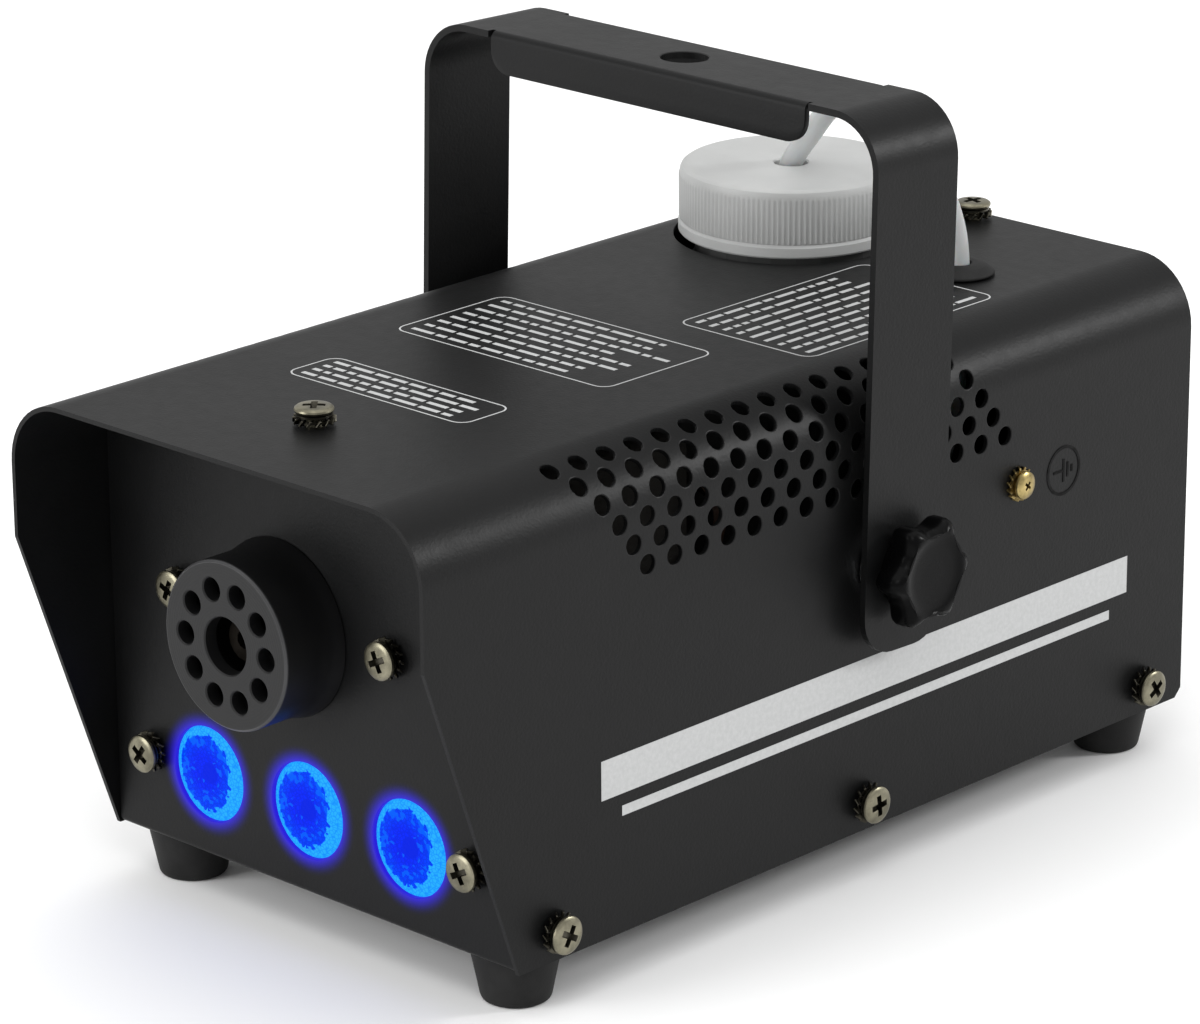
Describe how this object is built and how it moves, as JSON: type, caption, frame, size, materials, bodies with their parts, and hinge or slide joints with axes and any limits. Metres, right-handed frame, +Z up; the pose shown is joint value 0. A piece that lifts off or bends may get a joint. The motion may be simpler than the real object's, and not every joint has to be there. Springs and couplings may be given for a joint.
{
  "type": "fog machine",
  "caption": "Small stage fog machine: black folded-sheet casing with a round perforated nozzle, blue lamps, a tilting hanging bracket and a hose looping from its bottle's white cap.",
  "frame": {"origin": "on the ground under the feet, under the middle of the whole machine", "axes": "+Z up, the nozzle faces -Y, X runs across the machine along the bracket's pivot"},
  "size_m": [0.1472, 0.2486, 0.1679],
  "materials": {
    "casing_paint": "satin fine-textured black powder coat",
    "foot_rubber": "matt black moulded rubber",
    "screw_nickel": "nickel plate with a slightly warm tint",
    "earth_brass": "bright brass",
    "nozzle_plastic": "black heat-proof moulding with turned rings",
    "heater_aluminium": "machined, dull",
    "plated_steel": "zinc plate",
    "heater_wool": "matt fibre blanket",
    "black_plastic": "fine-grained black moulding",
    "switch_plastic": "glossy black",
    "knob_plastic": "satin black moulding",
    "led_blue": "lit blue lens with a fine hexagonal texture",
    "board_green": "green solder mask",
    "bottle_plastic": "translucent natural polyethylene",
    "cap_plastic": "white polyethylene with fine ribs",
    "hose_clear": "milky clear silicone",
    "fuse_glass": "clear glass tube with nickel end caps",
    "pipe_copper": "bare copper"
  },
  "bodies": {
    "machine": {"upper_cover": "casing_paint", "chassis_tray": "casing_paint", "foot_front_left": "foot_rubber", "foot_front_right": "foot_rubber", "foot_rear_left": "foot_rubber", "foot_rear_right": "foot_rubber", "hose_grommet": "foot_rubber", "foot_screw_front_left": "screw_nickel", "foot_screw_front_right": "screw_nickel", "foot_screw_rear_left": "screw_nickel", "foot_screw_rear_right": "screw_nickel", "front_screw_upper_left": "screw_nickel", "front_screw_upper_right": "screw_nickel", "front_screw_lower_left": "screw_nickel", "front_screw_lower_right": "screw_nickel", "side_screw_right_front": "screw_nickel", "side_screw_right_mid": "screw_nickel", "side_screw_right_rear": "screw_nickel", "side_screw_left_front": "screw_nickel", "side_screw_left_mid": "screw_nickel", "side_screw_left_rear": "screw_nickel", "top_screw_front": "screw_nickel", "top_screw_rear": "screw_nickel", "earth_screw": "earth_brass", "outlet_pipe": "earth_brass", "pump_body": "earth_brass", "nozzle": "nozzle_plastic", "heater_block": "heater_aluminium", "heating_element": "plated_steel", "heater_bracket": "plated_steel", "thermal_fuse": "plated_steel", "bottle_cradle": "plated_steel", "pump_bracket": "plated_steel", "pivot_bush_right": "plated_steel", "pivot_bush_left": "plated_steel", "heater_wrap": "heater_wool", "thermostat": "black_plastic", "led_holder": "black_plastic", "pump_coil": "black_plastic", "mains_gland": "black_plastic", "remote_socket": "black_plastic", "fuse_holder": "black_plastic", "switch_housing": "black_plastic", "led_lens_left": "led_blue", "led_lens_middle": "led_blue", "led_lens_right": "led_blue", "led_board": "board_green", "control_board": "board_green", "fluid_bottle": "bottle_plastic", "fluid_hose": "hose_clear", "feed_hose": "hose_clear", "pickup_tube": "hose_clear", "pressure_pipe": "pipe_copper", "fuse_link": "fuse_glass"},
    "hanging_bracket": {"hanging_bracket": "casing_paint"},
    "clamp_knob_right": {"clamp_knob_right": "knob_plastic"},
    "clamp_knob_left": {"clamp_knob_left": "knob_plastic"},
    "bottle_cap": {"bottle_cap": "cap_plastic"},
    "switch_rocker": {"switch_rocker": "switch_plastic"},
    "fuse_cap": {"fuse_cap": "black_plastic"}
  },
  "joints": [
    {"name": "bracket_tilt", "type": "hinge", "parent": "machine", "child": "hanging_bracket", "pos_m": [0, 0.01095, 0.0701], "axis": [1, 0, 0], "range_deg": [-20, 53]},
    {"name": "clamp_knob_right_turn", "type": "hinge", "parent": "machine", "child": "clamp_knob_right", "pos_m": [0, 0.01095, 0.0701], "axis": [1, 0, 0], "range_deg": [0, 720]},
    {"name": "clamp_knob_left_turn", "type": "hinge", "parent": "machine", "child": "clamp_knob_left", "pos_m": [0, 0.01095, 0.0701], "axis": [-1, 0, 0], "range_deg": [0, 720]},
    {"name": "bottle_cap_turn", "type": "hinge", "parent": "machine", "child": "bottle_cap", "pos_m": [-0.022, 0.07245, 0.12], "axis": [0, 0, 1], "range_deg": [0, 450]},
    {"name": "switch_rock", "type": "hinge", "parent": "machine", "child": "switch_rocker", "pos_m": [0.034, 0.11195, 0.0853], "axis": [0, 0, 1], "range_deg": [-16, 0]},
    {"name": "fuse_cap_turn", "type": "hinge", "parent": "machine", "child": "fuse_cap", "pos_m": [0.044, 0.11195, 0.0573], "axis": [0, 1, 0], "range_deg": [0, 90]}
  ]
}
